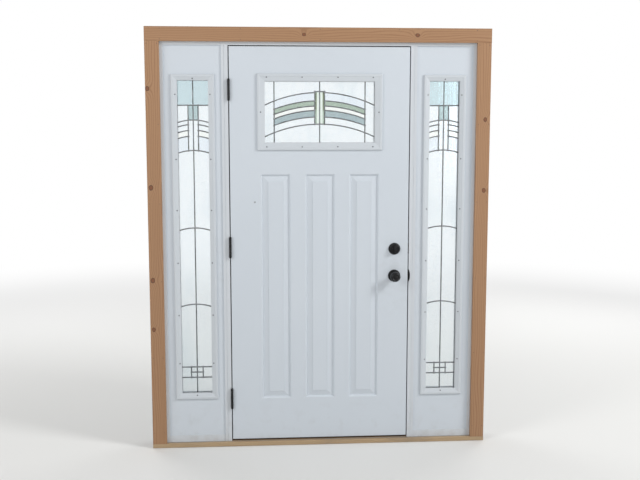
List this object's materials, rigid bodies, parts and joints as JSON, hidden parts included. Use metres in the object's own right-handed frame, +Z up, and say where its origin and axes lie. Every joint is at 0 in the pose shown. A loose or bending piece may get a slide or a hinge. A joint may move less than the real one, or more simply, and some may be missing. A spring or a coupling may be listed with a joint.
{
  "type": "entry door with sidelights",
  "caption": "White inswing entry door with tall raised panels below a leaded glass light, a leaded sidelight at each side, a black knob and deadbolt, and plain knotty pine casing.",
  "frame": {"origin": "on the underside of the sill, at the middle of the unit's width and of the jamb depth", "axes": "+X to the right as seen from the room, -Y into the room, +Y outdoors, +Z up"},
  "size_m": [1.731, 0.22, 2.1385],
  "materials": {
    "black_hardware": "satin black",
    "black_seal": "matte black foam and vinyl",
    "cap_wood": "clear finished wood",
    "clear_glass": "clear float glass",
    "edge_spacer": "dull aluminium",
    "knotty_pine": "clear finished knotty pine",
    "sill_aluminium": "mill finish aluminium",
    "strip_wood": "pale clear finished wood",
    "textured_glass": "textured leaded glass",
    "white_door": "satin white paint on a steel skin",
    "white_frame": "satin white painted wood",
    "white_moulding": "satin white paint",
    "white_sidelight": "satin white paint on a steel skin"
  },
  "bodies": {
    "frame": {"brickmould_head": "white_frame", "brickmould_left": "white_frame", "brickmould_right": "white_frame", "casing_head": "knotty_pine", "casing_left": "knotty_pine", "casing_right": "knotty_pine", "deadbolt_strike": "black_hardware", "door_seal": "black_seal", "door_stop_hinge": "white_frame", "door_stop_latch": "white_frame", "floor_strip": "strip_wood", "head_jamb": "white_frame", "hinge_leaves_frame": "black_hardware", "hinge_mullion": "white_frame", "latch_mullion": "white_frame", "latch_strike": "black_hardware", "outer_jamb_left": "white_frame", "outer_jamb_right": "white_frame", "sidelight_base_strip_left": "white_frame", "sidelight_base_strip_right": "white_frame", "sidelight_leaded_glass_left": "textured_glass", "sidelight_leaded_glass_right": "textured_glass", "sidelight_panel_left": "white_sidelight", "sidelight_panel_right": "white_sidelight", "sidelight_panes_left": "clear_glass", "sidelight_panes_right": "clear_glass", "sidelight_spacer_left": "edge_spacer", "sidelight_spacer_right": "edge_spacer", "sidelight_trim_inside_left": "white_moulding", "sidelight_trim_inside_right": "white_moulding", "sidelight_trim_outside_left": "white_moulding", "sidelight_trim_outside_right": "white_moulding", "sill": "sill_aluminium", "threshold_cap": "cap_wood"},
    "door": {"door_slab": "white_door", "door_trim_inside": "white_moulding", "door_trim_outside": "white_moulding", "door_panes": "clear_glass", "door_spacer": "edge_spacer", "door_leaded_glass": "textured_glass", "door_sweep": "black_seal", "hinge_leaves_door": "black_hardware", "latch_faceplate": "black_hardware", "latch_bolt": "black_hardware", "deadbolt_faceplate": "black_hardware", "knob_rose_inside": "black_hardware", "knob_rose_outside": "black_hardware", "deadbolt_rose_inside": "black_hardware", "deadbolt_cylinder_outside": "black_hardware"},
    "knob": {"knob_inside": "black_hardware", "knob_outside": "black_hardware"},
    "thumbturn": {"thumbturn": "black_hardware"},
    "bolt": {"deadbolt_bolt": "black_hardware"}
  },
  "joints": [
    {"name": "door_swing", "type": "hinge", "parent": "frame", "child": "door", "pos_m": [-0.4565, -0.065, 0], "axis": [0, 0, -1], "range_deg": [0, 125]},
    {"name": "knob_turn", "type": "hinge", "parent": "door", "child": "knob", "pos_m": [0.384, -0.058, 0.886], "axis": [0, 1, 0], "range_deg": [-60, 60], "stiffness_Nm_per_rad": 0.5},
    {"name": "bolt_slide", "type": "slide", "parent": "door", "child": "bolt", "axis": [1, 0, 0], "range_m": [0, 0.025]},
    {"name": "thumbturn_turn", "type": "hinge", "parent": "door", "child": "thumbturn", "pos_m": [0.384, -0.058, 1.026], "axis": [0, 1, 0], "range_deg": [0, 90]}
  ],
  "couplings": [
    {"joint": "thumbturn_turn", "follows": "bolt_slide", "rad_per_m": 62.832}
  ]
}
